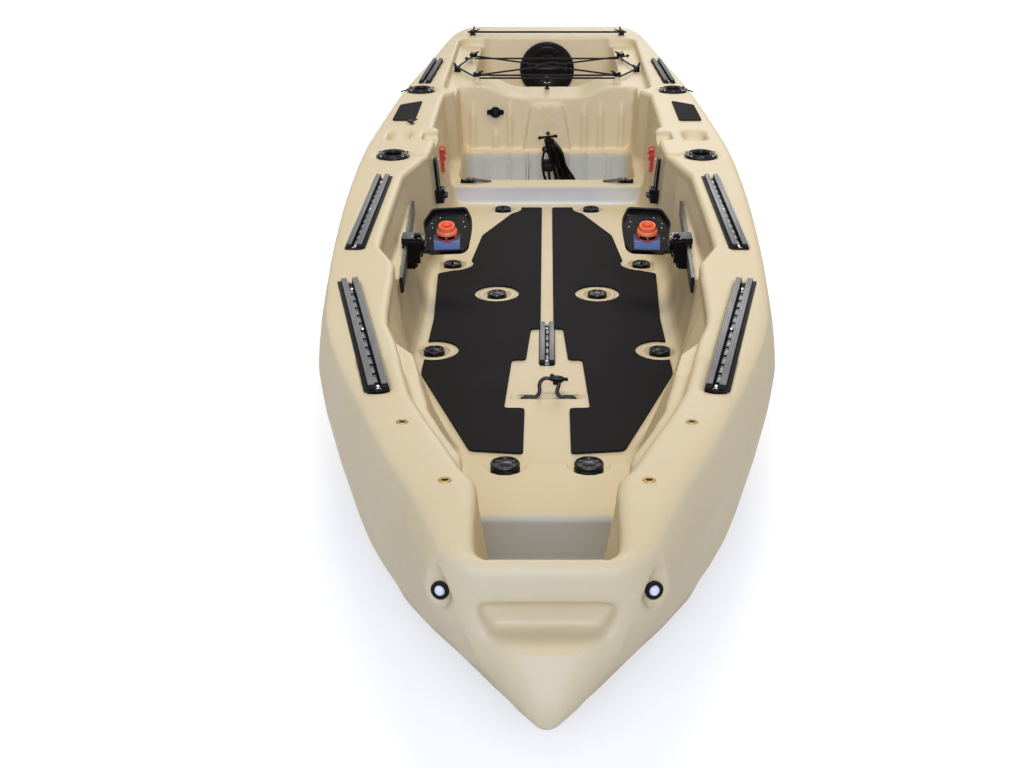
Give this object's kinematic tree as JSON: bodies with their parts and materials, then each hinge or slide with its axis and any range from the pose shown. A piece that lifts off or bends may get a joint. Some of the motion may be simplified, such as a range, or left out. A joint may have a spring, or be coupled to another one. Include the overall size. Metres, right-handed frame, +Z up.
{
  "type": "fishing kayak",
  "caption": "Sit-on-top fishing kayak hull with gear tracks, rod holders, floor pads, sliding foot braces with tilting pedals, a tankwell hatch and laced cord.",
  "frame": {"origin": "on the ground under the middle of the hull", "axes": "+X to port, +Y towards the stern, +Z up"},
  "size_m": [0.94, 3.81, 0.4223],
  "materials": {
    "hull": "moulded, satin",
    "track": "anodised",
    "pad": "closed-cell foam, matt",
    "lens": "clear dome over white",
    "lock": "moulded",
    "knob": "moulded",
    "strap": "woven webbing",
    "cord": "braided cover",
    "rail": "black anodised",
    "fitting": "moulded"
  },
  "bodies": {
    "hull": {"hull": "hull", "gear_track_bow_port": "track", "gear_track_bow_starboard": "track", "gear_track_mid_port": "track", "gear_track_mid_starboard": "track", "gear_track_aft_port": "track", "gear_track_aft_starboard": "track", "gear_track_floor": "track", "rod_holder_mid_port": "fitting", "rod_holder_mid_starboard": "fitting", "rod_holder_aft_port": "fitting", "rod_holder_aft_starboard": "fitting", "floor_pad_port": "pad", "floor_pad_starboard": "pad", "side_pad_port": "pad", "side_pad_starboard": "pad", "scupper_plug_aft_port": "fitting", "scupper_plug_aft_starboard": "fitting", "scupper_plug_quarter_port": "fitting", "scupper_plug_quarter_starboard": "fitting", "scupper_plug_centre_port": "fitting", "scupper_plug_centre_starboard": "fitting", "scupper_plug_side_port": "fitting", "scupper_plug_side_starboard": "fitting", "scupper_plug_bow_port": "fitting", "scupper_plug_bow_starboard": "fitting", "light_bezel_port": "fitting", "light_bezel_starboard": "fitting", "light_lens_port": "lens", "light_lens_starboard": "lens", "foot_rail_port": "rail", "foot_rail_starboard": "rail", "seat_rail_port": "rail", "seat_rail_starboard": "rail", "seat_strap_port": "strap", "seat_strap_starboard": "strap", "hatch_frame": "fitting", "stern_hook_port": "fitting", "stern_hook_starboard": "fitting", "stern_bungee": "cord", "cargo_hook_port": "fitting", "cargo_hook_starboard": "fitting", "cargo_bungee": "cord", "floor_bungee": "cord", "cable_harness": "cord", "strap_cleat_port": "fitting", "strap_cleat_starboard": "fitting", "tankwell_latch": "fitting"},
    "foot_brace_port": {"foot_clamp_port": "fitting"},
    "foot_pedal_port": {"foot_pedal_port": "fitting", "pedal_lock_port": "lock"},
    "pedal_knob_port": {"pedal_knob_port": "knob"},
    "seat_slider_port": {"seat_slider_port": "fitting"},
    "foot_brace_starboard": {"foot_clamp_starboard": "fitting"},
    "foot_pedal_starboard": {"foot_pedal_starboard": "fitting", "pedal_lock_starboard": "lock"},
    "pedal_knob_starboard": {"pedal_knob_starboard": "knob"},
    "seat_slider_starboard": {"seat_slider_starboard": "fitting"},
    "hatch_lid": {"hatch_lid": "fitting"},
    "drain_plug": {"drain_plug": "fitting"}
  },
  "joints": [
    {"name": "foot_brace_port_slide", "type": "slide", "parent": "hull", "child": "foot_brace_port", "axis": [0.0489, 0.9988, 0], "range_m": [-0.185, 0.02]},
    {"name": "pedal_port_tilt", "type": "hinge", "parent": "foot_brace_port", "child": "foot_pedal_port", "pos_m": [0.27886, -0.31298, 0.27392], "axis": [1, 0, 0], "range_deg": [-20, 25]},
    {"name": "knob_port_twist", "type": "hinge", "parent": "foot_pedal_port", "child": "pedal_knob_port", "pos_m": [0.22892, -0.29556, 0.29572], "axis": [0, -0.2419, 0.9703], "continuous": true},
    {"name": "seat_slider_port_slide", "type": "slide", "parent": "hull", "child": "seat_slider_port", "axis": [0.0784, 0, 0.9969], "range_m": [0, 0.075]},
    {"name": "foot_brace_starboard_slide", "type": "slide", "parent": "hull", "child": "foot_brace_starboard", "axis": [-0.0489, 0.9988, 0], "range_m": [-0.185, 0.02]},
    {"name": "pedal_starboard_tilt", "type": "hinge", "parent": "foot_brace_starboard", "child": "foot_pedal_starboard", "pos_m": [-0.27886, -0.31298, 0.27392], "axis": [1, 0, 0], "range_deg": [-20, 25]},
    {"name": "knob_starboard_twist", "type": "hinge", "parent": "foot_pedal_starboard", "child": "pedal_knob_starboard", "pos_m": [-0.22892, -0.29556, 0.29572], "axis": [0, -0.2419, 0.9703], "continuous": true},
    {"name": "seat_slider_starboard_slide", "type": "slide", "parent": "hull", "child": "seat_slider_starboard", "axis": [-0.0784, 0, 0.9969], "range_m": [0, 0.075]},
    {"name": "hatch_lid_twist", "type": "hinge", "parent": "hull", "child": "hatch_lid", "pos_m": [0, 1.64838, 0.285], "axis": [0, -0.9981, 0.0613], "range_deg": [0, 60]},
    {"name": "drain_plug_twist", "type": "hinge", "parent": "hull", "child": "drain_plug", "pos_m": [-0.16309, 0.94958, 0.292], "axis": [0, -0.9933, 0.1153], "continuous": true}
  ]
}
